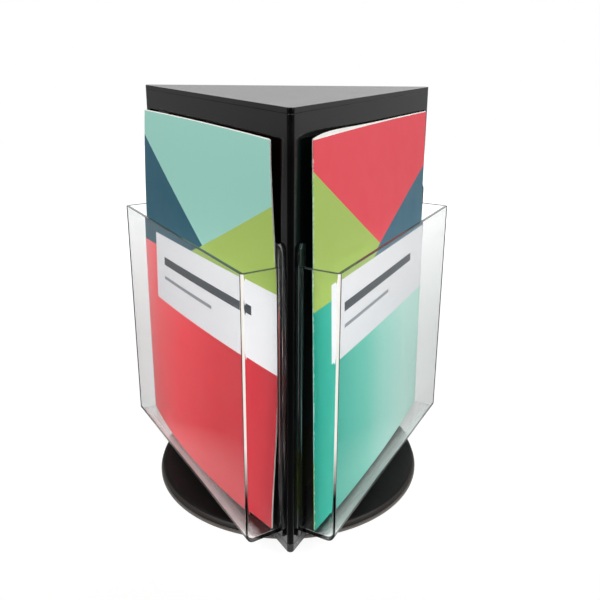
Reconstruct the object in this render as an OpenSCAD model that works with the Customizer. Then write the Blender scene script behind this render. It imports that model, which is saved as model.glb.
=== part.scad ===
// Rotating brochure holder for a table: a three-sided body with a clear pocket on each face,
// turning on a ball swivel that lies in a round base. Millimetres, +Z up.
// The origin is on the table, on the axis of the swivel. Face 0 looks along +Y, and the other
// two follow every 120 degrees, so one corner of the body points along -Y.

/* [Sheet] */
// Width of the sheets that the pockets take
sheet_w = 215.9; // [200:0.1:230]
// Height of the sheets that the pockets take
sheet_h = 279.4; // [250:0.1:300]
// Room beside a sheet, on each side of it
sheet_side_gap = 1.15; // [0.8:0.05:3]
// Room between the top of a sheet and the header
sheet_top_gap = 0.3; // [0.3:0.1:10]

/* [Body] */
// Width of the stile beside each corner
stile_w = 12.25; // [10:0.25:20]
// Height of the header over each face
header_h = 19.3; // [14:0.1:40]
// Radius of the three upright corners
corner_r = 3; // [1:0.25:5]
// Wall of the black mouldings
wall = 3; // [2.4:0.1:4]
// Depth of the recess in each face
recess_d = 4; // [3:0.25:5]
// Height of the bottom plate's visible edge
bottom_edge_h = 6.5; // [5.5:0.1:12]
// Height of the cap's visible edge
cap_edge_h = 3.7; // [3:0.1:8]
// Depth of the lips that centre the side panels
lip_h = 7; // [4:0.5:9]
// Height of the stiffening ribs
rib_h = 4; // [2:0.5:6]
// Thickness of the stiffening ribs
rib_t = 2; // [1.2:0.1:3]

/* [Corner keys] */
// Length of each arm of a corner key
key_arm = 20; // [18:0.5:26]
// Thickness of the corner keys
key_t = 2.4; // [1.6:0.1:3]
// Diameter of a key's screw boss
key_boss_d = 9; // [8:0.25:11]
// Diameter of the pegs that locate the keys
peg_d = 5; // [3:0.25:6]

/* [Pocket] */
// Wall of a pocket
pocket_wall = 2.4; // [1.8:0.1:3.5]
// How far a pocket stands out from its face
pocket_out = 27.7; // [26:0.1:45]
// Height of a pocket, without its ears
pocket_h = 201; // [150:1:240]
// Height of a pocket above the bottom of the body
pocket_lift = 11.5; // [8:0.5:30]
// Outer radius between the front and the floor of a pocket
pocket_r = 6; // [4:0.5:12]
// Outer radius of a pocket's upright edges
pocket_edge_r = 2.8; // [1:0.1:3.6]
// Inner radius of a pocket's upright edges
pocket_inner_r = 0.8; // [0.4:0.1:1.5]
// Width of the flange beside each pocket
flange_w = 6; // [4:0.25:7]
// Thickness of the flange
flange_t = 2.2; // [1.5:0.1:3]
// Height of the rounded ear on top of each flange
ear_h = 16.4; // [10:0.1:30]

/* [Base] */
// Diameter of the base
base_d = 226; // [200:1:280]
// Height of the base's top over the table
base_h = 8.5; // [8.5:0.1:12]
// Radius of the base's upper edge
base_edge_r = 3.5; // [1:0.1:3.7]
// How far the lower lip stands out
lip_out = 1; // [0.5:0.1:3]
// Height of the lower lip
lip_edge_h = 1.6; // [1:0.1:2.2]
// Height and depth of the groove over the lower lip
groove = 0.8; // [0.5:0.1:0.8]
// Skin of the base
base_skin = 2.5; // [2:0.1:3]
// Diameter of the non-slip pad
pad_d = 200; // [140:1:220]
// Thickness of the non-slip pad
pad_t = 1; // [0.6:0.1:1.5]
// Gap between the base and the body
turn_gap = 3; // [2.6:0.1:5]

/* [Swivel] */
// Diameter of the swivel plates
swivel_d = 96; // [90:1:120]
// Thickness of the swivel plates
plate_t = 1; // [0.8:0.1:1.4]
// Diameter of the swivel's balls
ball_d = 4; // [3.5:0.1:4.2]
// Diameter of the circle on which the balls run
ball_circle_d = 66; // [64:1:70]
// Number of balls
ball_n = 16; // [8:1:24]
// Play between a ball and its grooves
ball_play = 0.1; // [0.05:0.01:0.15]
// Radius of the hole through the lower plate
hub_r = 14; // [12:0.5:20]
// Radius of the circle of plate screws
screw_circle_r = 41; // [40:0.5:43]

/* [Screws] */
// Shank diameter of the plate screws
plate_screw_d = 2.9; // [2.2:0.1:3.2]
// Shank diameter of the corner screws
corner_screw_d = 4; // [3:0.1:4.5]
// Length of the corner screws
corner_screw_l = 16; // [12:1:30]
// Play around a shank in its hole
screw_play = 0.05; // [0.02:0.01:0.1]

/* [Brochures] */
// Thickness of a brochure
booklet_t = 1.6; // [1.4:0.1:4]
// Thickness of a brochure's cover
cover_t = 0.3; // [0.25:0.05:0.4]
// How far the inner pages stop short of the cover's free edge and foot
page_inset = 0.8; // [0.4:0.1:2]

/* [Hidden] */
$fn = 96;
eps = 0.01;
faces = 3;
turn = 360 / faces;

// Fits: seats within one body, soft seats, and play of one moulding in another
seat_gap = 0.3;
slide_gap = 0.2;
recess_gap = 1.25;
page_gap = 0.1;

// Plan of the body, worked out from the sheet
pocket_in = sheet_w / 2 + sheet_side_gap;
pocket_half = pocket_in + pocket_wall;
recess_half = pocket_half + recess_gap;
face_w = 2 * (recess_half + stile_w);
face_y = face_w / 2 / sqrt(3);
corner_x = face_w / 2 - corner_r * sqrt(3);
corner_y = face_y - corner_r;
panel_t = recess_d + wall;
back_y = face_y - panel_t;

// Heights
base_top = base_h;
body_z0 = base_top + turn_gap;
panel_z0 = body_z0 + bottom_edge_h;
pocket_z0 = body_z0 + pocket_lift;
pocket_z1 = pocket_z0 + pocket_h;
pocket_floor = pocket_z0 + pocket_wall;
recess_z0 = pocket_z0 - 2 * slide_gap;
sheet_z0 = pocket_floor + 2 * seat_gap;
recess_z1 = sheet_z0 + sheet_h + sheet_top_gap;
body_z1 = recess_z1 + header_h;
panel_z1 = body_z1 - cap_edge_h;
plate_z1 = body_z0 + wall;

// Corner keys: the apex of the panels' back faces, and the boss on its centre line
key_apex = 2 * back_y;
key_boss_x = key_apex - key_boss_d - 3 * key_t / 2;
key_z1 = panel_z1 - seat_gap;
key_end = back_y * sqrt(3) - key_arm;
peg_x = key_end + key_arm * 0.4;
peg_l = key_t + 1.2;
peg_n = 3;
peg_step = (key_z1 - plate_z1) / (peg_n + 1);
plug_d = corner_screw_d + 2;
plug_l = 9;

// Ribs inside the body
panel_rib_xs = [-0.55 * recess_half, 0, 0.55 * recess_half];
panel_rib_n = 3;
rib_z0 = plate_z1 + lip_h + seat_gap + wall;
rib_z1 = panel_z1 - lip_h - seat_gap - wall;
rib_zs = [for (i = [0 : panel_rib_n - 1]) rib_z0 + (i + 0.5) * (rib_z1 - rib_z0) / panel_rib_n];
centre_ring_r = 25;

// Swivel: the plates lie between the base's well and the body
well_r = swivel_d / 2 + 2;
well_floor_t = 3.5;
lower_z0 = pad_t + well_floor_t;
lower_z1 = lower_z0 + plate_t;
upper_z1 = body_z0;
upper_z0 = upper_z1 - plate_t;
ball_z = (lower_z1 + upper_z0) / 2;
ball_r = ball_d / 2;
ball_circle_r = ball_circle_d / 2;
race_w = ball_r + 1.5;
race_gap = 0.8;
cage_t = 0.8;
cage_play = 0.15;
hook_t = 1;
hub_lip_w = 4;
hub_ledge = 4;
hub_lip_z1 = upper_z0 - 0.6;
hub_lip_z0 = hub_lip_z1 - hook_t;
hook_z1 = hub_lip_z0 - 0.6;
hook_z0 = hook_z1 - hook_t;
hook_r0 = hub_r + hook_t + 0.6;
hook_r1 = hub_r + hub_lip_w + 1;
race_in_r = ball_circle_r - race_w;
screw_n = 4;
access_r = 4;
access_angle = 22.5;

// Screw heads: dome over a short rim
head_h = 1.6;
plate_head_r = plate_screw_d;
corner_head_r = corner_screw_d * 0.9;
corner_head_h = 1.3;
plate_boss_h = 6;

// Cross recess: its reach and depth as shares of the head's radius and height
drive_w = 0.9;
drive_l = 0.55;
drive_deep = 0.55;

// Base underside
base_rib_n = 12;
base_ring_r = (well_r + base_d / 2) / 2;

// How each brochure stands, in mm in front of its face: the lower corners at -X and +X, the upper
// corners at -X and +X, how far the -X edge sags back at mid height, how far the middle of the
// lower and the upper edge bows out, how late the lean begins (1 is an even lean), and how far
// the pages stand above the cover near the spine, which is on the +X side
booklet_poses = [
    [8.5, 8.5, 5, 5, 0, 3, -0.5, 1, 0],
    [6.3, 11.8, 4.8, 6.8, 6.2, 8.8, -1, 4, 0],
    [7.1, 11.6, 3.4, 6.4, 0, 3.5, -1, 1, 2.4],
];
top_arch = 0.5;
bulge_at = 0.125;
grid_x = 10;
grid_z = 12;

black = [0.06, 0.06, 0.065];
steel = [0.7, 0.71, 0.73];
clear = [0.86, 0.92, 0.93, 0.35];
paper = [0.95, 0.95, 0.93];
cover_colours = [[0.71, 0.82, 0.4], [0.86, 0.28, 0.33], [0.5, 0.79, 0.72]];

// Turns a thing made for face 0 to face i
module to_face(i) {
    rotate([0, 0, i * turn]) children();
}

// Turns a thing made on +X to corner i; corner 2 points along -Y
module to_corner(i) {
    rotate([0, 0, 30 + i * turn]) children();
}

// A prism between two distances from the axis, mitred at the corners
module mitred_slab(y0, y1, z0, z1) {
    translate([0, 0, z0])
        linear_extrude(z1 - z0)
            polygon([[-y0 * sqrt(3), y0], [y0 * sqrt(3), y0], [y1 * sqrt(3), y1], [-y1 * sqrt(3), y1]]);
}

// What a sharp corner has outside its round, at both ends of face 0
module corner_waste(z0, z1) {
    for (s = [-1, 1])
        difference() {
            translate([s > 0 ? corner_x : -corner_x - 4 * corner_r, corner_y, z0 - 1])
                cube([4 * corner_r, 2 * corner_r, z1 - z0 + 2]);
            translate([s * corner_x, corner_y, z0 - 2])
                cylinder(r = corner_r + eps, h = z1 - z0 + 4);
        }
}

// A triangular plate with sharp corners, set back from the faces
module triangle_plate(inset, z0, z1) {
    rotate([0, 0, 30]) translate([0, 0, z0])
        cylinder(r = 2 * (face_y - inset), h = z1 - z0, $fn = faces);
}

// The body's outline as a plate with round corners
module outline_plate(z0, z1) {
    round_x = 2 * (face_y - corner_r);
    difference() {
        triangle_plate(0, z0, z1);
        for (i = [0 : faces - 1]) to_corner(i)
            difference() {
                translate([round_x + corner_r / 2, -2 * corner_r, z0 - 1])
                    cube([3 * corner_r, 4 * corner_r, z1 - z0 + 2]);
                translate([round_x, 0, z0 - 2]) cylinder(r = corner_r + eps, h = z1 - z0 + 4);
            }
    }
}

// Copies round a circle about the axis
module on_circle(r, n, first = 0) {
    for (i = [0 : n - 1])
        rotate([0, 0, first + i * 360 / n]) translate([r, 0, 0]) children();
}

// A pan-head screw, head down at z = 0 and shank up to z = l, with a cross recess in the head
module screw(shank_r, head_r, h, l) {
    difference() {
        rotate_extrude()
            union() {
                translate([0, -h * 0.4]) square([head_r, h * 0.4]);
                intersection() {
                    translate([0, -h]) square([head_r, h]);
                    translate([0, dome_r(head_r, h) - h]) circle(r = dome_r(head_r, h));
                    translate([0, -h]) square([head_r, h * 0.6 + eps]);
                }
                square([shank_r, l]);
            }
        for (a = [0, 90]) rotate([0, 0, a])
            translate([-drive_l * head_r, -drive_w / 2, -2 * h])
                cube([2 * drive_l * head_r, drive_w, h * (1 + drive_deep)]);
    }
}

// Radius of a dome that falls by 0.6 h over the head's radius
function dome_r(r, h) = (r * r + 0.36 * h * h) / (1.2 * h);

// Base

module base_pad() {
    color([0.12, 0.12, 0.12]) cylinder(r = pad_d / 2, h = pad_t);
}

module base_profile() {
    r = base_d / 2;
    difference() {
        union() {
            translate([0, pad_t]) square([r, base_h - base_edge_r - pad_t]);
            translate([0, pad_t]) square([r - base_edge_r, base_h - pad_t]);
            translate([r - base_edge_r, base_h - base_edge_r]) circle(r = base_edge_r);
            translate([0, pad_t]) square([r + lip_out, lip_edge_h]);
        }
        // groove over the lip
        translate([r - groove, pad_t + lip_edge_h]) square([2 * groove, groove]);
        // well for the swivel, and the hole under it
        translate([-1, lower_z0]) square([well_r + 1, base_h]);
        translate([-1, 0]) square([hub_r - hub_ledge, base_h]);
        // hollow underside
        translate([well_r + base_skin, 0])
            square([r - base_edge_r - well_r - 2 * base_skin, base_h - base_skin]);
    }
}

module base_disc() {
    color(black) {
        difference() {
            rotate_extrude($fn = 180) base_profile();
            on_circle(screw_circle_r, screw_n, 45)
                cylinder(r = plate_screw_d / 2 + screw_play, h = 2 * lower_z0, center = true);
            rotate([0, 0, access_angle]) translate([screw_circle_r, 0, -eps])
                cylinder(r = access_r, h = lower_z0 + 1);
        }
        for (i = [0 : base_rib_n - 1])
            rotate([0, 0, (i + 0.5) * 360 / base_rib_n])
                translate([well_r + base_skin / 2, -rib_t / 2, pad_t])
                    cube([base_d / 2 - base_edge_r - well_r - base_skin, rib_t, base_h - pad_t - base_skin / 2]);
        difference() {
            translate([0, 0, pad_t]) cylinder(r = base_ring_r + rib_t / 2, h = base_h - pad_t - base_skin / 2);
            cylinder(r = base_ring_r - rib_t / 2, h = base_h);
        }
    }
}

// Swivel

// Ring with a half-round groove for the balls, from z0 to z1
module race_profile(z0, z1) {
    difference() {
        translate([race_in_r, z0]) square([2 * race_w, z1 - z0]);
        translate([ball_circle_r, ball_z]) circle(r = ball_r + ball_play);
    }
}

module swivel_lower_plate() {
    color(steel) difference() {
        rotate_extrude() {
            translate([hub_r, lower_z0]) square([swivel_d / 2 - hub_r, plate_t]);
            race_profile(lower_z1 - eps, ball_z - race_gap);
            translate([hub_r, lower_z0]) square([hook_t, hub_lip_z1 - lower_z0]);
            translate([hub_r, hub_lip_z0]) square([hub_lip_w, hook_t]);
        }
        on_circle(screw_circle_r, screw_n, 45) translate([0, 0, lower_z0 - 1])
            cylinder(r = plate_screw_d / 2 + screw_play, h = plate_t + 2);
        rotate([0, 0, access_angle]) translate([screw_circle_r, 0, lower_z0 - 1])
            cylinder(r = access_r, h = plate_t + 2);
    }
}

module swivel_upper_plate() {
    color(steel) difference() {
        rotate_extrude() {
            translate([hook_r1 - eps, upper_z0]) square([swivel_d / 2 - hook_r1 + eps, plate_t]);
            race_profile(ball_z + race_gap, upper_z0 + eps);
            translate([hook_r1 - eps, hook_z0]) square([hook_t, upper_z1 - hook_z0]);
            translate([hook_r0, hook_z0]) square([hook_r1 - hook_r0 + eps, hook_t]);
        }
        on_circle(screw_circle_r, screw_n) translate([0, 0, upper_z0 - 1])
            cylinder(r = plate_screw_d / 2 + screw_play, h = plate_t + 2);
    }
}

module lower_plate_screws() {
    color(steel) on_circle(screw_circle_r, screw_n, 45)
        translate([0, 0, lower_z1]) mirror([0, 0, 1])
            screw(plate_screw_d / 2, plate_head_r, head_h, lower_z1 - pad_t - seat_gap);
}

module upper_plate_screws() {
    color(steel) on_circle(screw_circle_r, screw_n)
        translate([0, 0, upper_z0])
            screw(plate_screw_d / 2, plate_head_r, head_h, plate_t + wall + plate_boss_h - 2 * seat_gap);
}

module ball_cage() {
    color("white") difference() {
        translate([0, 0, ball_z - cage_t / 2]) rotate_extrude()
            translate([race_in_r, 0]) square([2 * race_w, cage_t]);
        on_circle(ball_circle_r, ball_n) translate([0, 0, ball_z - cage_t])
            cylinder(r = ball_r + cage_play, h = 2 * cage_t, $fn = 32);
    }
}

module swivel_balls() {
    color(steel) on_circle(ball_circle_r, ball_n)
        translate([0, 0, ball_z]) sphere(r = ball_r, $fn = 32);
}

// Body

// Ring-shaped lip behind the panels, between the corner keys
module centring_lip(z0, z1) {
    lip_x = key_end - wall;
    for (i = [0 : faces - 1]) to_face(i)
        translate([-lip_x, back_y - slide_gap - wall, z0]) cube([2 * lip_x, wall, z1 - z0]);
}

module bottom_plate() {
    color(black) difference() {
        union() {
            outline_plate(body_z0, plate_z1);
            difference() {
                outline_plate(body_z0, panel_z0);
                triangle_plate(wall, plate_z1 - eps, panel_z0 + 1);
            }
            centring_lip(plate_z1 - eps, panel_z0 + lip_h);
            // ribs from the centre ring to the lips and to the corners
            for (i = [0 : faces - 1]) {
                to_face(i) translate([-rib_t / 2, centre_ring_r, plate_z1 - eps])
                    cube([rib_t, back_y - centre_ring_r - slide_gap - wall / 2, rib_h]);
                to_corner(i) translate([centre_ring_r, -rib_t / 2, plate_z1 - eps])
                    cube([key_boss_x - key_boss_d - centre_ring_r, rib_t, rib_h]);
            }
            translate([0, 0, plate_z1 - eps]) difference() {
                cylinder(r = centre_ring_r + rib_t, h = rib_h);
                translate([0, 0, -1]) cylinder(r = centre_ring_r, h = rib_h + 2);
            }
            on_circle(screw_circle_r, screw_n) translate([0, 0, plate_z1 - eps])
                cylinder(r = plate_screw_d / 2 + wall, h = plate_boss_h);
        }
        // blind holes for the plate screws
        on_circle(screw_circle_r, screw_n) translate([0, 0, body_z0 - 1])
            cylinder(r = plate_screw_d / 2 + screw_play, h = 1 + wall + plate_boss_h - slide_gap);
        // sunk holes for the corner screws
        for (i = [0 : faces - 1]) to_corner(i) translate([key_boss_x, 0, body_z0 - 1]) {
            cylinder(r = corner_screw_d / 2 + screw_play, h = wall + 2);
            cylinder(r = corner_head_r + slide_gap, h = 1 + wall / 2);
        }
    }
}

module corner_screws() {
    color(steel) for (i = [0 : faces - 1]) to_corner(i)
        translate([key_boss_x, 0, body_z0 + wall / 2])
            screw(corner_screw_d / 2, corner_head_r, corner_head_h, corner_screw_l);
}

module top_cap() {
    color(black) {
        outline_plate(panel_z1, body_z1);
        centring_lip(panel_z1 - lip_h, panel_z1 + eps);
        for (i = [0 : faces - 1]) to_corner(i) {
            translate([key_boss_x, 0, panel_z1 - plug_l]) cylinder(r = plug_d / 2, h = plug_l + eps);
            translate([0, -rib_t / 2, panel_z1 - rib_h]) cube([key_boss_x - key_boss_d, rib_t, rib_h + eps]);
        }
        translate([0, 0, panel_z1 - rib_h]) cylinder(r = 2 * rib_t, h = rib_h + eps);
    }
}

module side_panel(i) {
    color(black) to_face(i) {
        difference() {
            mitred_slab(back_y, face_y, panel_z0, panel_z1);
            corner_waste(panel_z0, panel_z1);
            // recess in the face
            translate([-recess_half, face_y - recess_d, recess_z0])
                cube([2 * recess_half, recess_d + 1, recess_z1 - recess_z0]);
            // hollow behind the header, open to the inside
            for (s = [-1, 1])
                translate([s > 0 ? rib_t / 2 : wall - recess_half, back_y - 1, recess_z1 + wall])
                    cube([recess_half - wall - rib_t / 2, recess_d + 1, panel_z1 - recess_z1 - 2 * wall]);
        }
        // ribs on the back of the recess
        for (x = panel_rib_xs)
            translate([x - rib_t / 2, back_y - rib_h, rib_z0])
                cube([rib_t, rib_h + eps, rib_z1 - rib_z0]);
        for (z = rib_zs)
            translate([slide_gap - key_end, back_y - rib_h, z - rib_t / 2])
                cube([2 * (key_end - slide_gap), rib_h + eps, rib_t]);
        // pegs for the corner keys
        for (s = [-1, 1], k = [1 : peg_n])
            translate([s * peg_x, back_y + eps, plate_z1 + k * peg_step])
                rotate([90, 0, 0]) cylinder(r = peg_d / 2, h = peg_l);
    }
}

// Angle section of a corner key, with its apex on +X
module key_section() {
    end = [key_apex - key_arm * cos(30), key_arm * sin(30)];
    inner = end - key_t * [sin(30), cos(30)];
    polygon([[key_apex, 0], end, inner, [key_apex - 2 * key_t, 0],
             [inner[0], -inner[1]], [end[0], -end[1]]]);
}

module corner_key(i) {
    color(black) to_corner(i) difference() {
        union() {
            translate([0, 0, plate_z1]) linear_extrude(key_z1 - plate_z1) key_section();
            translate([key_boss_x, 0, plate_z1]) cylinder(r = key_boss_d / 2, h = key_z1 - plate_z1);
            translate([key_boss_x, -key_t / 2, plate_z1])
                cube([key_apex - key_t - key_boss_x, key_t, key_z1 - plate_z1]);
        }
        // screw hole below, socket for the cap's plug above
        translate([key_boss_x, 0, plate_z1 - 1])
            cylinder(r = corner_screw_d / 2 + screw_play, h = corner_screw_l + 2);
        translate([key_boss_x, 0, key_z1 - plug_l])
            cylinder(r = plug_d / 2 + screw_play, h = plug_l + 1);
        // holes for the panels' pegs
        for (s = [-1, 1], k = [1 : peg_n]) rotate([0, 0, s * 60])
            translate([back_y - 2 * key_t, -s * peg_x, plate_z1 + k * peg_step])
                rotate([0, 90, 0]) cylinder(r = peg_d / 2 + screw_play, h = 3 * key_t);
    }
}

// Pocket

// The waste outside an upright round edge at x, y; s is the side it lies on
module edge_waste(s, x, y, r, z0, z1) {
    difference() {
        translate([s > 0 ? x - r : x - 1, y - r, z0 - 1]) cube([r + 1, r + 1, z1 - z0 + 2]);
        translate([x - s * r, y - r, z0 - 2]) cylinder(r = r, h = z1 - z0 + 4);
    }
}

// The waste outside the round between a front and a floor at y, z
module toe_waste(y, z, r, half) {
    difference() {
        translate([-half - 1, y - r, z - 1]) cube([2 * half + 2, r + 1, r + 1]);
        translate([-half - 2, y - r, z + r]) rotate([0, 90, 0]) cylinder(r = r, h = 2 * half + 4);
    }
}

module pocket(i) {
    front = face_y + pocket_out;
    back = face_y - recess_d + slide_gap;
    color(clear) to_face(i) {
        difference() {
            translate([-pocket_half, back, pocket_z0]) cube([2 * pocket_half, front - back, pocket_h]);
            toe_waste(front, pocket_z0, pocket_r, pocket_half);
            for (s = [-1, 1])
                edge_waste(s, s * pocket_half, front, pocket_edge_r, pocket_z0, pocket_z1);
            // the space for the sheets, open at the back and the top
            difference() {
                translate([-pocket_in, back - 1, pocket_floor])
                    cube([2 * pocket_in, front - back - pocket_wall + 1, pocket_h]);
                toe_waste(front - pocket_wall, pocket_floor, pocket_r - pocket_wall, pocket_in);
                for (s = [-1, 1])
                    edge_waste(s, s * pocket_in, front - pocket_wall, pocket_inner_r, pocket_floor, pocket_z1);
            }
        }
        // flanges that lie on the stiles, each with a rounded ear
        for (s = [-1, 1]) {
            x0 = s > 0 ? pocket_in : -pocket_half - flange_w;
            ear_r = flange_w;
            translate([x0, face_y, pocket_z0]) cube([pocket_wall + flange_w, flange_t, pocket_h]);
            translate([s > 0 ? pocket_in : -pocket_half, face_y, pocket_z1 - eps])
                cube([pocket_wall, flange_t, ear_h + eps]);
            translate([x0, face_y, pocket_z1 - eps])
                cube([pocket_wall + flange_w, flange_t, ear_h - ear_r + eps]);
            intersection() {
                translate([s * pocket_half, face_y, pocket_z1 + ear_h - ear_r])
                    rotate([-90, 0, 0]) cylinder(r = ear_r, h = flange_t);
                translate([s > 0 ? pocket_half : -pocket_half - flange_w, face_y, pocket_z1])
                    cube([flange_w, flange_t, ear_h]);
            }
        }
    }
}

// Brochures

// How far the outer side of a standing brochure is from its face: u runs from -1 at its -X edge
// to 1 at its +X edge, and w from 0 at its foot to 1 at its head
function lean(p, u, w) = let (v = pow(w, p[7]))
    (1 - u) / 2 * (p[0] + (p[2] - p[0]) * v - p[4] * pow(sin(180 * w), 1.5))
    + (1 + u) / 2 * (p[1] + (p[3] - p[1]) * v)
    + (1 - u * u) * (p[5] * pow(1 - w, 1.5) + p[6] * w * w);

// A hump across a brochure: 0 at the +X edge, 1 a short way in from it and near 0 at the -X edge
function bulge(u) = let (s = (1 - u) / 2 / bulge_at) s * exp(1 - s);

// A point of a standing brochure: x across it, h up it and d behind its outer side; rise lifts
// its head near the +X edge
function sheet_point(p, x, h, d, rise = 0) = let (u = 2 * x / sheet_w, w = h / sheet_h)
    [x, face_y + lean(p, u, w) - d,
     sheet_z0 + h - w * top_arch * u * u + w * rise * bulge(u)];

// A row of points across a brochure, from x0 to x1
function across(p, x0, x1, h, d, rise = 0) =
    [for (i = [0 : grid_x]) sheet_point(p, x0 + (x1 - x0) * i / grid_x, h, d, rise)];

function backwards(v) = [for (i = [len(v) - 1 : -1 : 0]) v[i]];

// The skin over a pile of outlines, each made of rows of g points that run there and back; caps
// lists the quads that close an outline. Both sides of a leaf are cut along the same diagonals.
module skin(outlines, g, caps) {
    n = len(outlines);
    m = len(outlines[0]);
    sides = [for (k = [0 : n - 2], j = [0 : m - 1]) let (a = k * m + j, b = k * m + (j + 1) % m)
        each floor(j / g) % 2 == 0
            ? [[a, b, a + m], [b, b + m, a + m]]
            : [[a, b, b + m], [a, b + m, a + m]]];
    lift = (n - 1) * m * [1, 1, 1];
    head = [for (q = caps) each [[q[0], q[1], q[2]] + lift, [q[0], q[2], q[3]] + lift]];
    foot = [for (q = caps) each [[q[2], q[1], q[0]], [q[3], q[2], q[0]]]];
    polyhedron([for (o = outlines) each o], concat(sides, head, foot));
}

// The cover: two leaves joined by a spine along one edge
module cover(i) {
    p = booklet_poses[i];
    half = sheet_w / 2;
    back = booklet_t;
    outlines = [for (k = [0 : grid_z]) let (h = sheet_h * k / grid_z) concat(
        across(p, -half, half, h, 0),
        backwards(across(p, -half, half, h, back)),
        across(p, -half, half - cover_t, h, back - cover_t),
        backwards(across(p, -half, half - cover_t, h, cover_t)))];
    g = grid_x + 1;
    caps = [
        for (j = [0 : grid_x - 1]) [j, j + 1, 4 * g - 2 - j, 4 * g - 1 - j],
        for (j = [0 : grid_x - 1]) [2 * g + j, 2 * g + j + 1, 2 * g - 2 - j, 2 * g - 1 - j],
        [g - 1, g, 3 * g - 1, 3 * g],
    ];
    color(cover_colours[i]) to_face(i) skin(outlines, g, caps);
}

module pages(i) {
    p = booklet_poses[i];
    half = sheet_w / 2 - page_inset;
    front = cover_t + page_gap;
    back = booklet_t - cover_t - page_gap;
    outlines = [for (k = [0 : grid_z]) let (h = page_inset + (sheet_h - page_inset) * k / grid_z)
        concat(across(p, -half, half, h, front, p[8]), backwards(across(p, -half, half, h, back, p[8])))];
    g = grid_x + 1;
    caps = [for (j = [0 : grid_x - 1]) [j, j + 1, 2 * g - 2 - j, 2 * g - 1 - j]];
    color(paper) to_face(i) skin(outlines, g, caps);
}

base_pad();
base_disc();
swivel_lower_plate();
lower_plate_screws();
ball_cage();
swivel_balls();
swivel_upper_plate();
upper_plate_screws();
bottom_plate();
corner_screws();
side_panel(0);  // side_panel_back
side_panel(1);  // side_panel_left
side_panel(2);  // side_panel_right
corner_key(2);  // corner_key_front
corner_key(1);  // corner_key_left
corner_key(0);  // corner_key_right
top_cap();
pocket(0);  // pocket_back
pocket(1);  // pocket_left
pocket(2);  // pocket_right
cover(0);  // cover_back
cover(1);  // cover_left
cover(2);  // cover_right
pages(0);  // pages_back
pages(1);  // pages_left
pages(2);  // pages_right
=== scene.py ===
import math

import bmesh
import bpy
from mathutils import Matrix, Vector


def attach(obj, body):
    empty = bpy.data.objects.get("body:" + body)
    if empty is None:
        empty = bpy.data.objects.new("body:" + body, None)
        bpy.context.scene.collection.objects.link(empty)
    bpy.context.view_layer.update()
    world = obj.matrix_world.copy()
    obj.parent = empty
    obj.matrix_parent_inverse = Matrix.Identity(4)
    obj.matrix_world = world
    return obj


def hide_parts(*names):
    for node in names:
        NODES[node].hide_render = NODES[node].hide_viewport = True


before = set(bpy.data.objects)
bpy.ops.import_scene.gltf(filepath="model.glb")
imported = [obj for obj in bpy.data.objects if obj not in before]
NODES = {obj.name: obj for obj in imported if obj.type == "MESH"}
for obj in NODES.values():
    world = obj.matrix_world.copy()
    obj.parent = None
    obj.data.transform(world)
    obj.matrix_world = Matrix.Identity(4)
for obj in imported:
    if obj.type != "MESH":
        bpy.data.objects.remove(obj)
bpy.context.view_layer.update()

MM = 0.001

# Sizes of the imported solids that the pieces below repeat, in mm

SIDES = ("back", "left", "right")
TURN = 2 * math.pi / 3
FACE_Y = 72.1687
POCKET_HALF = 111.5
POCKET_OUT = 27.7
POCKET_FOOT, POCKET_RIM = 23, 224
BEND_R = 2.8
SHEET_W, SHEET_H = 215.9, 279.4
SHEET_FOOT = 26.0
BOOKLET_T, FREE_EDGE_T, COVER_T = 1.6, 0.9, 0.22
PAGE_INSET, PAGE_RISE = 0.8, 0.4
TOP_ARCH = 0.5
BULGE_AT = 0.125

# Camera, fitted to points of the photograph: its place in mm, its axes, and its lens in pixels

CAMERA_AT = Vector((-4.524, -559.348, 361.686)) * MM
CAMERA_RIGHT = Vector((0.99918403, -0.03918478, 0.00978947))
CAMERA_UP = Vector((0.00256256, 0.30339514, 0.95286139))
CAMERA_FORWARD = Vector((0.04030774, 0.95205879, -0.30324799))
FOCAL_PX = 701.312
CENTRE_PX = (311.654, 264.872)
IMAGE_PX = 600
SENSOR_MM = 36
CLIP = (0.01, 50)


def make_camera():
    data = bpy.data.cameras.new("view")
    data.sensor_width = SENSOR_MM
    data.lens = FOCAL_PX / IMAGE_PX * SENSOR_MM
    data.shift_x = 0.5 - CENTRE_PX[0] / IMAGE_PX
    data.shift_y = CENTRE_PX[1] / IMAGE_PX - 0.5
    data.clip_start, data.clip_end = CLIP
    camera = bpy.data.objects.new("view", data)
    bpy.context.scene.collection.objects.link(camera)
    turn = Matrix((CAMERA_RIGHT, CAMERA_UP, -CAMERA_FORWARD)).transposed()
    camera.matrix_world = Matrix.Translation(CAMERA_AT) @ turn.to_4x4()
    bpy.context.scene.camera = camera


# Shader helpers

def linear(code):
    """A colour written as RRGGBB, as linear red, green, blue and alpha."""
    parts = [int(code[i:i + 2], 16) / 255 for i in (0, 2, 4)]
    return tuple(c / 12.92 if c <= 0.04045 else ((c + 0.055) / 1.055) ** 2.4 for c in parts) + (1.0,)


def set_input(tree, socket, value):
    """Links a socket to the one that feeds it, or sets it to a number or colour."""
    if isinstance(value, bpy.types.NodeSocket):
        tree.links.new(value, socket)
    else:
        socket.default_value = value


def add(tree, kind, inputs=None, **settings):
    """A shader node. Inputs are numbers, colours or the sockets that feed them."""
    node = tree.nodes.new(kind)
    for key, value in settings.items():
        setattr(node, key, value)
    for key, value in (inputs or {}).items():
        set_input(tree, node.inputs[key], value)
    return node


def feed(tree, shader, **sockets):
    """Sets or links the shader's inputs; an underscore in a name stands for a space."""
    for key, value in sockets.items():
        set_input(tree, shader.inputs[key.replace("_", " ")], value)


def maths(tree, operation, *values):
    return add(tree, "ShaderNodeMath", dict(enumerate(values)), operation=operation).outputs[0]


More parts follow.
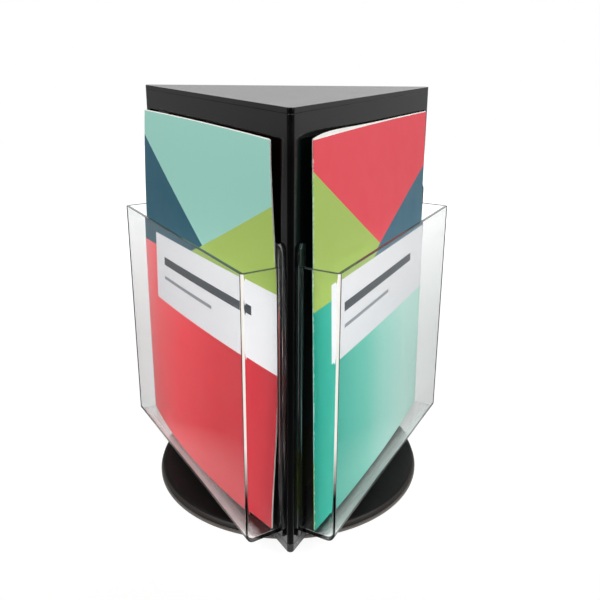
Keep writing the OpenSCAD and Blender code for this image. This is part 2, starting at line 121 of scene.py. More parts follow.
def mixed(tree, factor, a, b):
    """Colour a where factor is 0 and b where it is 1."""
    node = add(tree, "ShaderNodeMix", {"Factor": factor}, data_type="RGBA")
    set_input(tree, node.inputs[6], a)
    set_input(tree, node.inputs[7], b)
    return node.outputs[2]


def ranged(tree, value, before, after, start=0.3, end=0.7):
    """Passes from before to after while the value goes from start to end. Most noise lies in 0.3 to 0.7."""
    return add(tree, "ShaderNodeMapRange", {"Value": value, "From Min": start, "From Max": end,
                                            "To Min": before, "To Max": after}).outputs[0]


def noise(tree, where, scale, detail=3.0, roughness=0.55, stretch=None):
    if stretch:
        where = add(tree, "ShaderNodeMapping", {"Vector": where, "Scale": stretch}).outputs[0]
    return add(tree, "ShaderNodeTexNoise", {"Vector": where, "Scale": scale, "Detail": detail,
                                            "Roughness": roughness}).outputs["Fac"]


def bumped(tree, layers):
    """A normal from several layers of relief, each a value with its depth in mm."""
    normal = None
    for height, depth in layers:
        inputs = {"Height": height, "Strength": 1.0, "Distance": depth * MM}
        if normal is not None:
            inputs["Normal"] = normal
        normal = add(tree, "ShaderNodeBump", inputs).outputs[0]
    return normal


def here(tree):
    return add(tree, "ShaderNodeTexCoord").outputs["Object"]


def height_of(tree, where):
    return add(tree, "ShaderNodeSeparateXYZ", {0: where}).outputs[2]


def within(tree, value, low, high):
    """1 where the value lies between low and high, and 0 elsewhere."""
    return maths(tree, "COMPARE", value, (low + high) / 2, (high - low) / 2)


def new_material(name):
    """A material with one Principled shader. Returns the material, its tree, shader and output."""
    material = bpy.data.materials.new(name)
    material.use_nodes = True
    tree = material.node_tree
    tree.nodes.clear()
    output = tree.nodes.new("ShaderNodeOutputMaterial")
    shader = tree.nodes.new("ShaderNodeBsdfPrincipled")
    tree.links.new(shader.outputs[0], output.inputs["Surface"])
    return material, tree, shader, output


# Materials. Noise scales are per metre, depths in mm, and polish is the least and the greatest roughness.

PLASTIC_IOR, SATIN_IOR, ACRYLIC_IOR, PAPER_IOR, COATED_IOR = 1.5, 1.27, 1.4, 1.45, 1.3
ACRYLIC_TINT, ACRYLIC_DENSITY = "B9C6C4", 3.0
SHADOW_TINT = "FCFDFD"
RIPPLE_DEPTH, FIBRE_DEPTH, WAVE_DEPTH = 0.05, 0.02, 0.5
PAPER_POLISH, COATED_POLISH = (0.55, 0.75), (0.29, 0.36)


def plastic(name, colour, lighter, polish, peel, grain=None, index=PLASTIC_IOR, painted_highlight_bands=()):
    """Moulded plastic: a slow ripple (peel) and a fine grain, each as (noise scale, depth), with polish and
    shade that vary a little. Painted highlight bands are zones of a lighter colour painted where a rim catches
    the light, each as (foot in mm, head in mm, colour)."""
    material, tree, shader, _ = new_material(name)
    where = here(tree)
    slow = noise(tree, where, scale=22, detail=4)
    layers = [(noise(tree, where, scale, detail=2), depth) for scale, depth in filter(None, (peel, grain))]
    shade = mixed(tree, ranged(tree, slow, 0, 1), linear(colour), linear(lighter))
    for foot, head, code in painted_highlight_bands:
        inside = within(tree, height_of(tree, where), foot * MM, head * MM)
        shade = mixed(tree, inside, shade, linear(code))
    feed(tree, shader, Base_Color=shade, Normal=bumped(tree, layers), IOR=index,
         Roughness=ranged(tree, noise(tree, where, scale=90, detail=5), *polish))
    return material


def steel(name, colour, darker, polish, stretch, depth):
    """Plated steel with cloudy plating and fine working marks, which are longer where stretch is below 1."""
    material, tree, shader, _ = new_material(name)
    where = here(tree)
    cloud = noise(tree, where, scale=60, detail=4)
    marks = noise(tree, where, scale=900, stretch=stretch)
    feed(tree, shader, Base_Color=mixed(tree, ranged(tree, cloud, 0, 1), linear(colour), linear(darker)),
         Roughness=ranged(tree, marks, *polish), Normal=bumped(tree, [(marks, depth)]), Metallic=1.0)
    return material


def outward(face):
    return Vector((-math.sin(face * TURN), math.cos(face * TURN), 0))


def sideways(face):
    return Vector((math.cos(face * TURN), math.sin(face * TURN), 0))


def outward_distance(tree, where):
    """How far a point lies from the axis, straight out of the face that it is on, in metres."""
    def straight_out(face):
        inputs = {0: where, 1: outward(face)}
        return add(tree, "ShaderNodeVectorMath", inputs, operation="DOT_PRODUCT").outputs["Value"]

    farthest = maths(tree, "MAXIMUM", straight_out(0), straight_out(1))
    return maths(tree, "MAXIMUM", farthest, straight_out(2))


def clear_plastic(name, colour, polish, opaque_share=0.0, measure=height_of, zone=(60, 100)):
    """Clear acrylic with a faint bloom of handling and shallow ripples. Lamps shine through it. The opaque
    share is the part that shows the base colour instead of the clear plastic, which paints a highlight on the
    bends, shade on the rim and a paler front on the floor. It comes in over the zone, in mm of the measure,
    which is the height by default."""
    material, tree, shader, output = new_material(name)
    where = here(tree)
    bloom = noise(tree, where, scale=14, detail=6, roughness=0.7)
    ripple = noise(tree, where, scale=9, detail=1)
    feed(tree, shader, Base_Color=linear(colour), Roughness=ranged(tree, bloom, *polish, start=0.4, end=0.75),
         Normal=bumped(tree, [(ripple, RIPPLE_DEPTH)]), IOR=ACRYLIC_IOR, Transmission_Weight=1.0)
    if opaque_share:
        start, end = zone
        left_clear = ranged(tree, measure(tree, where), 1.0, 1 - opaque_share, start * MM, end * MM)
        feed(tree, shader, Transmission_Weight=left_clear)
    through = add(tree, "ShaderNodeBsdfTransparent", {"Color": linear(SHADOW_TINT)})
    path = add(tree, "ShaderNodeLightPath")
    both = add(tree, "ShaderNodeMixShader", {0: path.outputs["Is Shadow Ray"], 1: shader.outputs[0],
                                             2: through.outputs[0]})
    tree.links.new(both.outputs[0], output.inputs["Surface"])
    inside = {"Color": linear(ACRYLIC_TINT), "Density": ACRYLIC_DENSITY}
    volume = add(tree, "ShaderNodeVolumeAbsorption", inputs=inside)
    tree.links.new(volume.outputs[0], output.inputs["Volume"])
    return material


def paper(name, colour, darker):
    """Uncoated paper: fibres, a cloudy look-through and a soft surface."""
    material, tree, shader, _ = new_material(name)
    where = here(tree)
    cloud = noise(tree, where, scale=130, detail=5, roughness=0.7)
    fibre = noise(tree, where, scale=2600, stretch=(1, 1, 0.3))
    feed(tree, shader, Base_Color=mixed(tree, ranged(tree, cloud, 0, 1), linear(colour), linear(darker)),
         Roughness=ranged(tree, fibre, *PAPER_POLISH), Normal=bumped(tree, [(fibre, FIBRE_DEPTH)]),
         IOR=PAPER_IOR)
    return material


# Prints. Places are shares of the sheet's width from the fold and of its height from the foot.

MINT, TEAL, LIME, RED, BLUE = "93C9BC", "1F5567", "A0BA58", "DF4450", "386578"
WHITE, INK, GREY = "EAE9EC", "3B4046", "8B9096"
PAPER_EDGE = "F2F0EC"
BLEED = 0.1
HORIZON = 0.6
LABEL = (0.12, 1 + BLEED, 0.43, 0.64)
BAR_LEFT, BAR_FOOT, BAR_HEAD = 0.2, 0.55, 0.575
RULE = (0.2, 0.6, 0.505, 0.515)
REAR_BAND = (0.0, 0.2)
INK_UNEVEN = 0.025
WEAR_REACH, WEAR_SCATTER, WEAR_SHOWS = 0.0012, (-0.001, 0.003), 0.3


def block(left, right, foot, head):
    return [(left, foot), (right, foot), (right, head), (left, head)]


def cover_shapes(sky, left, right, bar_end):
    """A sky over the horizon, a wedge on the left and one on the right, each as (colour, where its point is,
    where its top is), and a white label with a thin rule and a bar, which ends at bar_end."""
    past = 1 + BLEED
    left_ink, left_point, left_top = left
    right_ink, right_point, right_top = right
    return [(sky, block(-BLEED, past, HORIZON, past)),
            (left_ink, [(0, HORIZON), (left_point, HORIZON), (0, left_top)]),
            (right_ink, [(right_point, HORIZON), (past, HORIZON), (past, right_top)]),
            (WHITE, block(*LABEL)),
            (INK, block(BAR_LEFT, bar_end, BAR_FOOT, BAR_HEAD)),
            (GREY, block(*RULE))]


def printed(name, rear, rear_ink, sheen_shades, shapes):
    """Coated paper with a print. The front's ground passes through the sheen shades, each as (share of the
    width, colour); they are a painted sheen, paler where the glossy coating would mirror the bright room and
    deeper where it would not. Shapes are drawn over it in order, each as (colour, corners), with the corners
    anticlockwise. The rear leaf has the rear colour, with a band of rear ink at its foot."""
    material, tree, shader, _ = new_material(name)
    where = here(tree)
    spot = add(tree, "ShaderNodeUVMap", uv_map="print").outputs[0]
    u, v = add(tree, "ShaderNodeSeparateXYZ", {0: spot}).outputs[:2]

    colour = linear(sheen_shades[0][1])
    for (start, _), (end, ink) in zip(sheen_shades, sheen_shades[1:]):
        colour = mixed(tree, ranged(tree, u, 0, 1, start, end), colour, linear(ink))
    for ink, corners in shapes:
        mask = 1.0
        for (x0, y0), (x1, y1) in zip(corners, corners[1:] + corners[:1]):
            # inside is on the left of each side
            rest = maths(tree, "MULTIPLY_ADD", v, x1 - x0, y1 * x0 - y0 * x1)
            side = maths(tree, "MULTIPLY_ADD", u, y0 - y1, rest)
            mask = maths(tree, "MULTIPLY", mask, maths(tree, "GREATER_THAN", side, 0.0))
        colour = mixed(tree, mask, colour, linear(ink))
    behind = mixed(tree, within(tree, v, *REAR_BAND), linear(rear), linear(rear_ink))
    colour = mixed(tree, maths(tree, "LESS_THAN", u, 0.0), colour, behind)

    # ink lies unevenly, and the paper shows where the edges and the fold have rubbed
    ink_cloud = noise(tree, where, scale=40, detail=5)
    colour = mixed(tree, maths(tree, "MULTIPLY", ink_cloud, INK_UNEVEN), colour, linear("FFFFFF"))
    across = maths(tree, "ABSOLUTE", u)
    to_sides = maths(tree, "MINIMUM", across, maths(tree, "SUBTRACT", 1.0, across))
    to_ends = maths(tree, "MINIMUM", v, maths(tree, "SUBTRACT", 1.0, v))
    to_ends = maths(tree, "MULTIPLY", to_ends, SHEET_H / SHEET_W)
    scatter = ranged(tree, noise(tree, where, scale=420), *WEAR_SCATTER)
    to_edge = maths(tree, "ADD", maths(tree, "MINIMUM", to_sides, to_ends), scatter)
    worn = maths(tree, "MULTIPLY", maths(tree, "LESS_THAN", to_edge, WEAR_REACH), WEAR_SHOWS)
    colour = mixed(tree, worn, colour, linear(PAPER_EDGE))
    wave = noise(tree, where, scale=7, detail=1)
    gloss = noise(tree, where, scale=60, detail=4)
    feed(tree, shader, Base_Color=colour, Roughness=ranged(tree, gloss, *COATED_POLISH),
         Normal=bumped(tree, [(wave, WAVE_DEPTH)]), IOR=COATED_IOR)
    return material


# Brochures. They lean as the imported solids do, with separate leaves and a rounded fold. A stance says how far
# the left edge, the right edge and the bow of the middle stand out at the foot and at the head, how far the
# left edge sags back at mid height, and how far the pages rise at the fold, in mm. A curve of 1 leans evenly.

STANCES = (
    {"left": (8.5, 5), "right": (8.5, 5), "bow": (3, -0.5), "sag": 0, "curve": 1, "rise": 0},
    {"left": (6.3, 4.8), "right": (11.8, 6.8), "bow": (8.8, -1), "sag": 6.2, "curve": 4, "rise": 0},
    {"left": (7.1, 3.4), "right": (11.6, 6.4), "bow": (3.5, -1), "sag": 0, "curve": 1, "rise": 2.4},
)
SWELL = 1.5
COVER_ROWS, COVER_CELLS, FOLD_CELLS = 56, 40, 10
LEAVES, LEAF_ROWS, LEAF_CELLS = 6, 30, 26
LEAF_GAP, LEAF_FILL = 0.03, 0.8
LEAF_FOLD_GAP = 1.1
LEAF_UNEVEN, LEAF_PHASE, FREE_UNEVEN = 0.35, 2.4, 0.1
MIDDLE_REACH, OUTER_RISE = 0.5, 0.82


def lean(stance, u, w):
    """How far a brochure's outer side is from its face, in mm."""
    (left_foot, left_head), (right_foot, right_head) = stance["left"], stance["right"]
    bow_foot, bow_head = stance["bow"]
    rise = w ** stance["curve"]
    sag = stance["sag"] * math.sin(math.pi * w) ** SWELL if 0 < w < 1 else 0.0
    left = left_foot + (left_head - left_foot) * rise - sag
    right = right_foot + (right_head - right_foot) * rise
    bow = bow_foot * (1 - w) ** SWELL + bow_head * w * w
    return (1 - u) / 2 * left + (1 + u) / 2 * right + (1 - u * u) * bow


def sheet_point(face, x, h, depth, rise=0.0):
    """The point of a sheet at x across and h up, depth behind the brochure's outer side, in mm."""
    u = max(-1.0, min(1.0, 2 * x / SHEET_W))
    w = max(0.0, min(1.0, h / SHEET_H))
    bulge = (1 - u) / 2 / BULGE_AT
    z = SHEET_FOOT + h - w * TOP_ARCH * u * u + w * rise * bulge * math.exp(1 - bulge)
    y = FACE_Y + lean(STANCES[face], u, w) - depth
    c, s = math.cos(face * TURN), math.sin(face * TURN)
    return Vector((x * c - y * s, x * s + y * c, z)) * MM


def add_piece(name, points, faces, materials, uvs=None, slots=None, sharp=35):
    mesh = bpy.data.meshes.new(name)
    mesh.from_pydata(points, [], faces)
    for material in materials:
        mesh.materials.append(material)
    if slots:
        mesh.polygons.foreach_set("material_index", slots)
    if uvs:
        layer = mesh.uv_layers.new(name="print")
        layer.data.foreach_set("uv", [c for face in uvs for corner in face for c in corner])
    mesh.polygons.foreach_set("use_smooth", [True] * len(faces))
    mesh.set_sharp_from_angle(angle=math.radians(sharp))
    mesh.update()
    piece = bpy.data.objects.new(name, mesh)
    bpy.context.scene.collection.objects.link(piece)
    return piece


def spread(a, b, n):
    return [a + (b - a) * i / n for i in range(n + 1)]


def thickness(x):
    """A brochure is thickest at its fold."""
    return FREE_EDGE_T + (BOOKLET_T - FREE_EDGE_T) * (x / SHEET_W + 0.5)


def cover_section(inset):
    """The folded cover in plan, as (x, depth) from the front leaf's free edge round the fold to the
    rear leaf's, set in by inset."""
    half, radius = SHEET_W / 2, BOOKLET_T / 2
    flat = spread(-half, half - 2 * radius, COVER_CELLS)
    bend = [math.pi * i / FOLD_CELLS for i in range(1, FOLD_CELLS)]
    front = [(x, inset) for x in flat]
    inner = radius - inset
    fold = [(half - radius + inner * math.sin(a), radius - inner * math.cos(a)) for a in bend]
    back = [(x, thickness(x) - inset) for x in reversed(flat)]
    return front + fold + back


def make_cover(face, material, inside):
    """The cover as one sheet, printed on its outer side. Its cut edges show the paper."""
    outer, inner = cover_section(0.0), cover_section(COVER_T)
    section = outer + inner[::-1]
    count = len(section)
    heights = spread(0, SHEET_H, COVER_ROWS)
    points = [sheet_point(face, x, h, d) for h in heights for x, d in section]
    # print runs from 0 at the fold to 1 at the front leaf's free edge, and to -1 at the rear leaf's
    fold_at = len(outer) // 2
    along = [(0.0 if j == fold_at else math.copysign(abs(x - SHEET_W / 2) / SHEET_W, fold_at - j))
             for j, (x, _) in enumerate(outer)]
    along += along[::-1]
    faces, uvs, slots = [], [], []
    for k in range(COVER_ROWS):
        low, high = heights[k] / SHEET_H, heights[k + 1] / SHEET_H
        for j in range(count):
            nxt = (j + 1) % count
            faces.append((k * count + j, (k + 1) * count + j, (k + 1) * count + nxt, k * count + nxt))
            uvs.append(((along[j], low), (along[j], high), (along[nxt], high), (along[nxt], low)))
            slots.append(0 if j < len(outer) - 1 else 1)
    top = COVER_ROWS * count
    for j in range(len(outer) - 1):
        a, b, c, d = j, j + 1, count - 2 - j, count - 1 - j
        faces += [(a, b, c, d), (top + d, top + c, top + b, top + a)]
        uvs += [((along[a], 0.0), (along[b], 0.0), (along[b], 0.0), (along[a], 0.0)),
                ((along[a], 1.0), (along[b], 1.0), (along[b], 1.0), (along[a], 1.0))]
        slots += [1, 1]
    return add_piece(f"printed_cover_{SIDES[face]}", points, faces, [material, inside], uvs, slots)


def make_leaves(face, material):
    """The inner leaves, each a thin sheet of its own, and a little uneven at the free edge and the head."""
    first = COVER_T + LEAF_GAP
    points, faces = [], []
    for leaf in range(LEAVES):
        share = leaf / (LEAVES - 1)
        middle = 1 - abs(2 * share - 1)
        uneven = LEAF_UNEVEN * math.sin(LEAF_PHASE * leaf + face)
        free = -SHEET_W / 2 + PAGE_INSET * (1 - MIDDLE_REACH * middle) + FREE_UNEVEN * uneven
        head = SHEET_H + PAGE_RISE * (1 + uneven)
        rise = STANCES[face]["rise"] * (OUTER_RISE + (1 - OUTER_RISE) * middle)
        start = len(points)
        for side in (0.0, LEAF_FILL):
            for h in spread(PAGE_INSET, head, LEAF_ROWS):
                for x in spread(free, SHEET_W / 2 - LEAF_FOLD_GAP, LEAF_CELLS):
                    room = (thickness(x) - 2 * first) / LEAVES
                    points.append(sheet_point(face, x, h, first + (leaf + side) * room, rise))
        row = LEAF_CELLS + 1
        layer = row * (LEAF_ROWS + 1)
        for k in range(LEAF_ROWS):
            for j in range(LEAF_CELLS):
                a = start + k * row + j
                b = a + layer
                faces += [(a, a + row, a + row + 1, a + 1), (b, b + 1, b + row + 1, b + row)]
        for k in range(LEAF_ROWS):
            a, b = start + k * row, start + k * row + LEAF_CELLS
            faces += [(a, a + layer, a + layer + row, a + row), (b, b + row, b + layer + row, b + layer)]
        for j in range(LEAF_CELLS):
            a, b = start + j, start + LEAF_ROWS * row + j
            faces += [(a, a + 1, a + layer + 1, a + layer), (b, b + layer, b + layer + 1, b + 1)]
    return add_piece(f"inner_leaves_{SIDES[face]}", points, faces, [material])


# Floor, in metres. Each fade is its value before and after, and where it starts and ends: by distance from
# the axis, by depth along +Y or by width along +X. The lit ring round the object takes the shadow.

FLOOR_HALF, FLOOR_DROP = 2.0, 0.0001
FLOOR_DARK, FLOOR_PALE = (0, 0, 0, 1), (1, 1, 0.99, 1)
RING_BY_DISTANCE, RING_BY_DEPTH = (0.25, 0.0, 0.14, 0.18), (0.35, 1.0, -0.25, -0.05)
GLOW_BY_DISTANCE, GLOW_LESS_IN_RING = (0.93, 1.0, 0.2, 0.9), 0.65
GLEAM_BY_DISTANCE, GLEAM_BY_DEPTH = (1.0, 0.0, 0.135, 0.142), (1.0, 0.0, -0.124, -0.118)
PALE_BY_DISTANCE, PALE_BY_DEPTH = (0.1, 0.3, 0.35, 0.95), (0.04, 1.0, -0.4, 0.05)
PALE_BY_WIDTH = (0.72, 1.15, -1.0, 1.0)


def in_plain_view(tree):
    """1 for what the camera sees directly or through clear plastic, 0 for what is mirrored or lit."""
    path = add(tree, "ShaderNodeLightPath").outputs
    bounces = maths(tree, "ADD", path["Glossy Depth"], path["Diffuse Depth"])
    through = maths(tree, "MULTIPLY", path["Is Transmission Ray"], maths(tree, "LESS_THAN", bounces, 0.5))
    return maths(tree, "MAXIMUM", path["Is Camera Ray"], through)


def mirrored(tree):
    return add(tree, "ShaderNodeLightPath").outputs["Is Glossy Ray"]


def make_stage():
    material = bpy.data.materials.new("floor_white")
    material.use_nodes = True
    tree = material.node_tree
    tree.nodes.clear()
    where = here(tree)
    far = add(tree, "ShaderNodeVectorMath", {0: where}, operation="LENGTH").outputs["Value"]
    across, depth = add(tree, "ShaderNodeSeparateXYZ", {0: where}).outputs[:2]
    # close round the object the floor is a lit sheet, farther off mostly a glow
    ring = maths(tree, "MULTIPLY", ranged(tree, far, *RING_BY_DISTANCE), ranged(tree, depth, *RING_BY_DEPTH))
    lift = maths(tree, "MULTIPLY_ADD", ring, -GLOW_LESS_IN_RING, ranged(tree, far, *GLOW_BY_DISTANCE))
    # the white floor right in front of the base, which the body's lowest edge mirrors
    gleam = maths(tree, "MULTIPLY", ranged(tree, far, *GLEAM_BY_DISTANCE), mirrored(tree))
    gleam = maths(tree, "MULTIPLY", gleam, ranged(tree, depth, *GLEAM_BY_DEPTH))
    shown = maths(tree, "MULTIPLY", in_plain_view(tree), lift)
    glow = add(tree, "ShaderNodeEmission", {"Strength": maths(tree, "MAXIMUM", shown, gleam)})
    # what else the floor mirrors into the object: dim close by and on the photographer's side
    near = maths(tree, "MULTIPLY", ranged(tree, far, *PALE_BY_DISTANCE), ranged(tree, depth, *PALE_BY_DEPTH))
    pale = maths(tree, "MULTIPLY_ADD", near, ranged(tree, across, *PALE_BY_WIDTH), ring)
    matt = add(tree, "ShaderNodeBsdfDiffuse", {"Color": mixed(tree, pale, FLOOR_DARK, FLOOR_PALE)})
    both = add(tree, "ShaderNodeAddShader", {0: matt.outputs[0], 1: glow.outputs[0]})
    output = tree.nodes.new("ShaderNodeOutputMaterial")
    tree.links.new(both.outputs[0], output.inputs["Surface"])
    mesh = bpy.data.meshes.new("floor")
    corners = [(x * FLOOR_HALF, y * FLOOR_HALF, 0) for x, y in ((-1, -1), (1, -1), (1, 1), (-1, 1))]
    mesh.from_pydata(corners, [], [(0, 1, 2, 3)])
    mesh.materials.append(material)
    floor = bpy.data.objects.new("floor", mesh)
    floor.location.z = -FLOOR_DROP
    bpy.context.scene.collection.objects.link(floor)


# Light. The room that the object mirrors is dim on the photographer's side, bright behind the object and
# brighter on the right. Each fade is its value before and after, and where it starts and ends, as a share of
# the direction along +Y or +X. The steps along +Y add up.

ROOM_DIM, ROOM_DIFFUSE = 0.01, 0.6
ROOM_STEPS_BY_DEPTH = ((0.0, 0.41, -0.5, 0.48), (0.0, -0.12, 0.48, 0.66), (0.0, 0.26, 0.66, 0.95))
ROOM_BY_WIDTH = (0.8, 1.2, -0.7, 0.7)

# Soft boxes, each as name, place, what it points at, its width and height in metres, and its watts

BODY_MIDDLE, BODY_TOP = (0, 0, 0.17), (0, 0, 0.32)
LAMPS = (
    ("soft_left", (-1.3, -1.2, 0.9), BODY_MIDDLE, (1.2, 1.2), 22),
    ("soft_right", (1.3, -1.2, 0.9), BODY_MIDDLE, (1.2, 1.2), 24),
    ("soft_top", (0, 0.1, 1.7), BODY_MIDDLE, (1.4, 1.4), 12),
    ("soft_back", (0.25, 1.7, 1.0), BODY_TOP, (2.4, 0.9), 6),
)


def soft_box(name, at, towards, size, power):
    data = bpy.data.lights.new(name, "AREA")
    data.shape = "RECTANGLE"
    data.size, data.size_y = size
    data.energy = power
    lamp = bpy.data.objects.new(name, data)
    lamp.location = at
    lamp.rotation_mode = "QUATERNION"
    lamp.rotation_quaternion = (Vector(towards) - Vector(at)).to_track_quat("-Z", "Y")
    lamp.visible_camera = False
    bpy.context.scene.collection.objects.link(lamp)


def make_light():
    world = bpy.data.worlds.new("studio")
    bpy.context.scene.world = world
    world.use_nodes = True
    tree = world.node_tree
    tree.nodes.clear()
    direction = add(tree, "ShaderNodeTexCoord").outputs["Generated"]
    across, depth = add(tree, "ShaderNodeSeparateXYZ", {0: direction}).outputs[:2]
    room = ROOM_DIM
    for step in ROOM_STEPS_BY_DEPTH:
        room = maths(tree, "ADD", ranged(tree, depth, *step), room)
    room = maths(tree, "MULTIPLY", room, ranged(tree, across, *ROOM_BY_WIDTH))
    glossy = mirrored(tree)
    lit = maths(tree, "MULTIPLY", maths(tree, "SUBTRACT", 1.0, glossy), ROOM_DIFFUSE)
    either = maths(tree, "ADD", maths(tree, "MULTIPLY", glossy, room), lit)
    strength = maths(tree, "MAXIMUM", in_plain_view(tree), either)
    white = add(tree, "ShaderNodeBackground", {"Color": (1, 1, 1, 1), "Strength": strength})
    output = tree.nodes.new("ShaderNodeOutputWorld")
    tree.links.new(white.outputs[0], output.inputs["Surface"])
    for lamp in LAMPS:
        soft_box(*lamp)


# Moulded pieces. Lengths are in mm and angles in degrees.

WELD, FLAT_ANGLE, EDGE_ANGLE, SHADE_ANGLE = 0.05, 0.5, 28, 40
BOND_REACH, BOND_DEPTH = 0.01, 0.02
PANEL_EDGE_R, PLATE_EDGE_R, POCKET_EDGE_R = 0.3, 0.35, 0.35


def softened(node, name, radius, sunk=None):
    """A piece with a node's shape and its sharp edges rounded. Where sunk gives a plane, as its direction and
    distance, the faces in it go a hair into what they are bonded to."""
    bm = bmesh.new()
    bm.from_mesh(NODES[node].data)
    bmesh.ops.remove_doubles(bm, verts=bm.verts, dist=WELD * MM)
    bmesh.ops.dissolve_limit(bm, angle_limit=math.radians(FLAT_ANGLE), use_dissolve_boundaries=False,
                             verts=bm.verts, edges=bm.edges)
    bonded = set()
    if sunk:
        direction, distance = sunk
        bonded = {v for v in bm.verts if abs(v.co.dot(direction) - distance) < BOND_REACH * MM}
        for v in bonded:
            v.co -= direction * BOND_DEPTH * MM
    sharp = [e for e in bm.edges if len(e.link_faces) == 2 and e.calc_face_angle(0) > math.radians(EDGE_ANGLE)
             and not all(v in bonded for v in e.verts)]
    bmesh.ops.bevel(bm, geom=sharp, offset=radius * MM, offset_type="OFFSET", segments=2, profile=0.5,
                    affect="EDGES", clamp_overlap=False)
    mesh = bpy.data.meshes.new(name)
    bm.to_mesh(mesh)
    bm.free()
    mesh.polygons.foreach_set("use_smooth", [True] * len(mesh.polygons))
    mesh.set_sharp_from_angle(angle=math.radians(SHADE_ANGLE))
    piece = bpy.data.objects.new(name, mesh)
    bpy.context.scene.collection.objects.link(piece)
    even = piece.modifiers.new("even", "WEIGHTED_NORMAL")
    even.keep_sharp = True
    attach(piece, "rotor")
    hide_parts(node)
    return piece


# Zones of a pocket: its walls, the part of the bends by the front corner that is painted pale as a highlight,
# the rim painted dark grey as shade, and the floor, whose front is paler.
# Lengths are in mm and turns in degrees. The rest are the upward share of the direction that a face looks in.

HIGHLIGHT_TURN, HIGHLIGHT_BEFORE_Y = (25, 66), -60
RIM_DEPTH, RIM_FROM_FACE = 0.4, 3
FLOOR_DEPTH, FLOOR_MARGIN = 4, 2
UPRIGHT, TILTED_UP, FACING_UP = 0.3, 0.3, 0.6
WALLS, BEND_PAINTED_HIGHLIGHT, RIM_PAINTED_SHADE, POCKET_FLOOR = range(4)


def part_zones(pocket, face):
    """Gives the bends painted as a highlight, the rim painted as shade and the floor of a pocket their own
    materials.
    """
    out, along = outward(face), sideways(face)
    for polygon in pocket.data.polygons:
        middle = polygon.center / MM
        x, y, z, up = abs(middle.dot(along)), middle.dot(out), middle.z, polygon.normal.z
        turned = math.degrees(math.atan2(abs(polygon.normal.dot(along)), polygon.normal.dot(out)))
        in_bend = x > POCKET_HALF - BEND_R and y > FACE_Y + POCKET_OUT - BEND_R and abs(up) < UPRIGHT
        if in_bend and HIGHLIGHT_TURN[0] < turned < HIGHLIGHT_TURN[1] and middle.y < HIGHLIGHT_BEFORE_Y:
            polygon.material_index = BEND_PAINTED_HIGHLIGHT
        elif up > TILTED_UP and z > POCKET_RIM - RIM_DEPTH and y > FACE_Y + RIM_FROM_FACE:
            polygon.material_index = RIM_PAINTED_SHADE
        elif up > FACING_UP and z < POCKET_FOOT + FLOOR_DEPTH and x < POCKET_HALF - FLOOR_MARGIN:
            polygon.material_index = POCKET_FLOOR


# Putting it together

def dress(names, material):
    """Gives nodes of the pack a material."""
    for name in names:
        for slot in NODES[name].material_slots:
            slot.material = material


make_camera()
make_stage()
make_light()

dress(["base_pad"],
      plastic("foam_pad", "161616", "1F1F1E", polish=(0.85, 0.95), peel=(300, 0.12), grain=(1800, 0.05)))
# painted highlight: the disc's lower lip and its upper rounding are banded in lighter greys where they catch
# the light
dress(["base_disc"],
      plastic("satin_black", "0A0808", "100E0D", polish=(0.4, 0.5), peel=(260, 0.012), grain=(2400, 0.012),
              index=SATIN_IOR, painted_highlight_bands=[(0.0, 3.1, "6B6662"), (3.9, 7.6, "2E2B29")]))
dress(["corner_key_front", "corner_key_left", "corner_key_right"],
      plastic("key_black_matt", "141415", "1D1D1E", polish=(0.5, 0.65), peel=(200, 0.02), grain=(1500, 0.03)))
dress(["swivel_lower_plate", "swivel_upper_plate"],
      steel("plated_sheet", "C9CACC", "A9ACAF", polish=(0.24, 0.42), stretch=(1, 0.15, 1), depth=0.01))
dress(["lower_plate_screws", "upper_plate_screws", "corner_screws"],
      steel("plated_screw", "D2D0C9", "AFAEA8", polish=(0.2, 0.34), stretch=(1, 1, 0.3), depth=0.006))
dress(["swivel_balls"],
      steel("bearing_ball", "E2E3E5", "CFD0D2", polish=(0.06, 0.1), stretch=(1, 1, 1), depth=0.001))
dress(["ball_cage"],
      plastic("nylon_cage", "DEDCD2", "E9E7DF", polish=(0.42, 0.55), peel=(240, 0.02), grain=(1200, 0.02)))

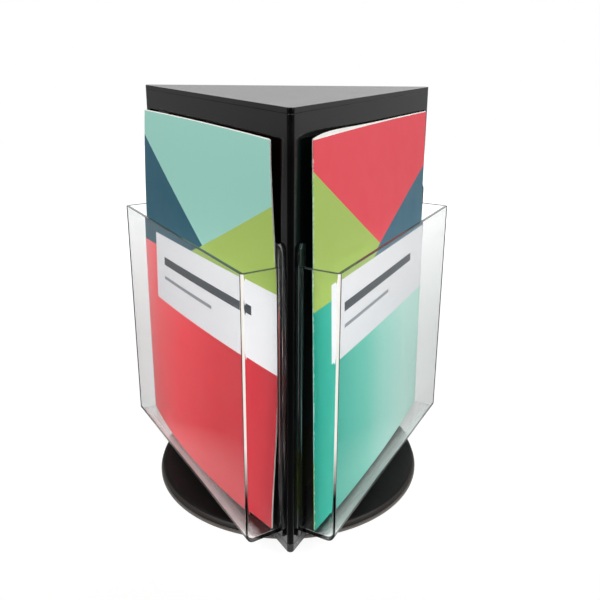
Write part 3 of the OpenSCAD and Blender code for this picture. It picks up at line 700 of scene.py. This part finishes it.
gloss_black = plastic("gloss_black", "040405", "080809", polish=(0.10, 0.17), peel=(120, 0.006))
clear = {
    WALLS: clear_plastic("clear_acrylic", "FEFFFF", polish=(0.0, 0.03)),
    # painted highlight: the bends by the front corner are turned a pale cream, for the bright line that the
    # rounded clear edge shows
    BEND_PAINTED_HIGHLIGHT: clear_plastic("clear_acrylic_bend_painted_highlight", "FFFAF2", polish=(0.03, 0.08), opaque_share=0.9),
    # painted shade: the top of the rim is turned dark grey, for the dark line that the clear edge shows
    RIM_PAINTED_SHADE: clear_plastic("clear_acrylic_rim_painted_shade", "4A5553", polish=(0.08, 0.2), opaque_share=0.6),
    POCKET_FLOOR: clear_plastic("clear_acrylic_floor", "FBFAF9", polish=(0.05, 0.12), opaque_share=0.5,
                                measure=outward_distance, zone=(86, 96)),
}
# painted reflection: the bottom plate is a lighter grey than the body, for the white floor that its lowest
# flanks mirror
foot_grey_painted_sheen = plastic("foot_grey_painted_sheen", "363637", "3E3E3F", polish=(0.2, 0.3), peel=(120, 0.006),
                     grain=(2000, 0.006))

moulded = [softened("top_cap", "moulded_cap", PLATE_EDGE_R)]
moulded += [softened("side_panel_" + side, "moulded_panel_" + side, PANEL_EDGE_R) for side in SIDES]
for piece in moulded:
    piece.data.materials.append(gloss_black)
bottom = softened("bottom_plate", "moulded_bottom", PLATE_EDGE_R)
bottom.data.materials.append(foot_grey_painted_sheen)
for face, side in enumerate(SIDES):
    piece = softened("pocket_" + side, "clear_pocket_" + side, POCKET_EDGE_R, (outward(face), FACE_Y * MM))
    for zone in sorted(clear):
        piece.data.materials.append(clear[zone])
    part_zones(piece, face)

# Covers for the back, left and right, each as its name, the colours of the rear leaf and of the band on it,
# the shades of the front's ground, which are a painted sheen across the width, the shapes on it and the
# record's slot

PRINTS = (
    ("print_lime", LIME, BLUE,
     [(0, "BCD66C"), (1, "A6C850")],
     cover_shapes(BLUE, (MINT, 0.62, 0.9), (RED, 0.44, 0.85), 0.8), "cover_lime"),
    ("print_red", RED, TEAL,
     [(0, "FF8488"), (0.1, "FF6469"), (0.35, "FA454E"), (0.65, "DA2F39"), (1, "C0343E")],
     cover_shapes(MINT, (TEAL, 0.66, 0.93), (LIME, 0.34, 0.89), 0.85), "cover_red"),
    ("print_mint", MINT, LIME,
     [(0, "109E88"), (0.14, "38AF9B"), (0.38, "6CCAB6"), (0.55, "A0DED0"), (0.8, "C4ECE0")],
     cover_shapes(RED, (LIME, 0.66, 0.93), (BLUE, 0.34, 0.87), 0.85), "cover_mint"),
)
page_paper = paper("page_paper", "EFEEEA", "E4E2DC")
for face, (label, rear, rear_ink, sheen_shades, shapes, slot) in enumerate(PRINTS):
    side = SIDES[face]
    cover = make_cover(face, printed(label, rear, rear_ink, sheen_shades, shapes), page_paper)
    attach(cover, "brochure_" + side)
    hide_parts("cover_" + side)
    leaves = make_leaves(face, page_paper)
    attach(leaves, "brochure_" + side)
    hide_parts("pages_" + side)

bpy.context.scene.view_settings.view_transform = "Standard"
